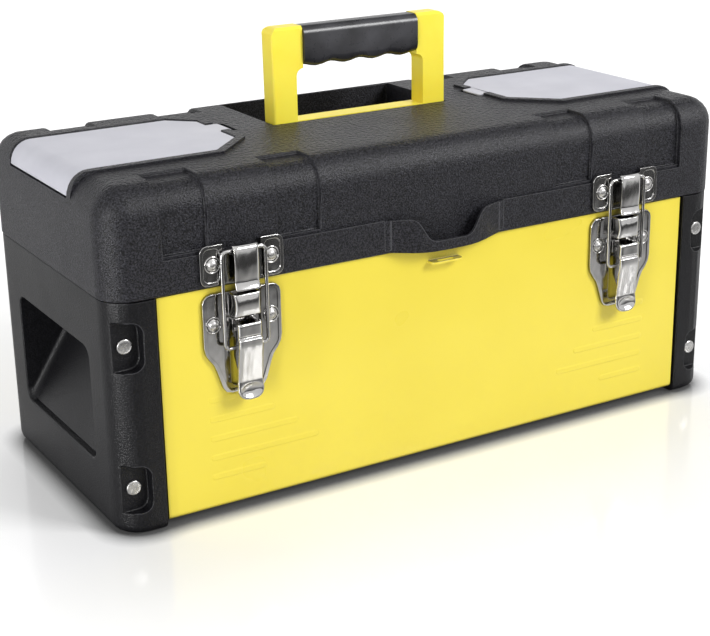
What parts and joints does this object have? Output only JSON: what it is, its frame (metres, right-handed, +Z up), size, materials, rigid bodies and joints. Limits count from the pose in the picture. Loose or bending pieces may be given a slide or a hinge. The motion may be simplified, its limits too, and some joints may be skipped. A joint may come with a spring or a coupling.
{
  "type": "tool box",
  "caption": "Portable tool box: sheet steel tray between moulded end caps, hinged organiser lid with clear-covered bins, folding carry handle and steel draw latches.",
  "frame": {"origin": "on the floor, below the centre of the whole object, latches and hinges included", "axes": "+X along the box's length to the right, +Y from the latches to the hinges, +Z up"},
  "size_m": [0.511, 0.2358, 0.307],
  "materials": {
    "yellow_paint": "glossy yellow paint on sheet steel",
    "yellow_plastic": "satin yellow moulding",
    "dark_plastic": "fine-grained black moulding",
    "milky_plastic": "milky translucent moulding",
    "grip_rubber": "black soft grip",
    "bright_steel": "bright nickel plate",
    "hinge_steel": "zinc-plated steel",
    "rivet_steel": "plain steel"
  },
  "bodies": {
    "base": {"body_tray": "yellow_paint", "left_end_cap": "dark_plastic", "right_end_cap": "dark_plastic", "cap_rivet_left_front_lower": "rivet_steel", "cap_rivet_left_front_upper": "rivet_steel", "cap_rivet_left_rear_lower": "rivet_steel", "cap_rivet_left_rear_upper": "rivet_steel", "cap_rivet_right_front_lower": "rivet_steel", "cap_rivet_right_front_upper": "rivet_steel", "cap_rivet_right_rear_lower": "rivet_steel", "cap_rivet_right_rear_upper": "rivet_steel", "latch_plate_left": "bright_steel", "latch_plate_right": "bright_steel", "latch_rivet_left_outer": "rivet_steel", "latch_rivet_left_inner": "rivet_steel", "latch_rivet_right_outer": "rivet_steel", "latch_rivet_right_inner": "rivet_steel", "latch_pin_left": "rivet_steel", "latch_pin_right": "rivet_steel", "hinge_base_leaf_left": "hinge_steel", "hinge_base_leaf_right": "hinge_steel", "hinge_base_rivet_left_outer": "rivet_steel", "hinge_base_rivet_left_inner": "rivet_steel", "hinge_base_rivet_right_outer": "rivet_steel", "hinge_base_rivet_right_inner": "rivet_steel", "hinge_pin_left": "rivet_steel", "hinge_pin_right": "rivet_steel"},
    "lid": {"lid_shell": "dark_plastic", "latch_keeper_left": "bright_steel", "latch_keeper_right": "bright_steel", "keeper_rivet_left_outer": "rivet_steel", "keeper_rivet_left_inner": "rivet_steel", "keeper_rivet_right_outer": "rivet_steel", "keeper_rivet_right_inner": "rivet_steel", "hinge_lid_leaf_left": "hinge_steel", "hinge_lid_leaf_right": "hinge_steel", "hinge_lid_rivet_left_outer": "rivet_steel", "hinge_lid_rivet_left_inner": "rivet_steel", "hinge_lid_rivet_right_outer": "rivet_steel", "hinge_lid_rivet_right_inner": "rivet_steel", "handle_pin_left": "rivet_steel", "handle_pin_right": "rivet_steel"},
    "handle": {"handle_frame": "yellow_plastic", "handle_grip": "grip_rubber"},
    "left_cover": {"left_organiser_cover": "milky_plastic"},
    "right_cover": {"right_organiser_cover": "milky_plastic"},
    "left_lever": {"latch_lever_left": "bright_steel"},
    "right_lever": {"latch_lever_right": "bright_steel"},
    "left_bail": {"latch_bail_left": "bright_steel"},
    "right_bail": {"latch_bail_right": "bright_steel"}
  },
  "joints": [
    {"name": "lid_hinge", "type": "hinge", "parent": "base", "child": "lid", "pos_m": [0, 0.1147, 0.164], "axis": [-1, 0, 0], "range_deg": [0, 100]},
    {"name": "handle_fold", "type": "hinge", "parent": "lid", "child": "handle", "pos_m": [0, 0.014, 0.23], "axis": [-1, 0, 0], "range_deg": [0, 90]},
    {"name": "left_cover_hinge", "type": "hinge", "parent": "lid", "child": "left_cover", "pos_m": [-0.2531, 0.0025, 0.2234], "axis": [0, -1, 0], "range_deg": [0, 95]},
    {"name": "right_cover_hinge", "type": "hinge", "parent": "lid", "child": "right_cover", "pos_m": [0.2531, 0.0025, 0.2234], "axis": [0, 1, 0], "range_deg": [0, 95]},
    {"name": "left_latch_lever", "type": "hinge", "parent": "base", "child": "left_lever", "pos_m": [-0.161, -0.111, 0.1349], "axis": [-1, 0, 0], "range_deg": [0, 90]},
    {"name": "right_latch_lever", "type": "hinge", "parent": "base", "child": "right_lever", "pos_m": [0.161, -0.111, 0.1349], "axis": [-1, 0, 0], "range_deg": [0, 90]},
    {"name": "left_latch_bail", "type": "hinge", "parent": "left_lever", "child": "left_bail", "pos_m": [-0.161, -0.1105, 0.1215], "axis": [-1, 0, 0], "range_deg": [-77.4, 0]},
    {"name": "right_latch_bail", "type": "hinge", "parent": "right_lever", "child": "right_bail", "pos_m": [0.161, -0.1105, 0.1215], "axis": [-1, 0, 0], "range_deg": [-77.4, 0]}
  ],
  "couplings": [
    {"joint": "left_latch_bail", "follows": "left_latch_lever", "ratio": -0.86},
    {"joint": "right_latch_bail", "follows": "right_latch_lever", "ratio": -0.86}
  ]
}
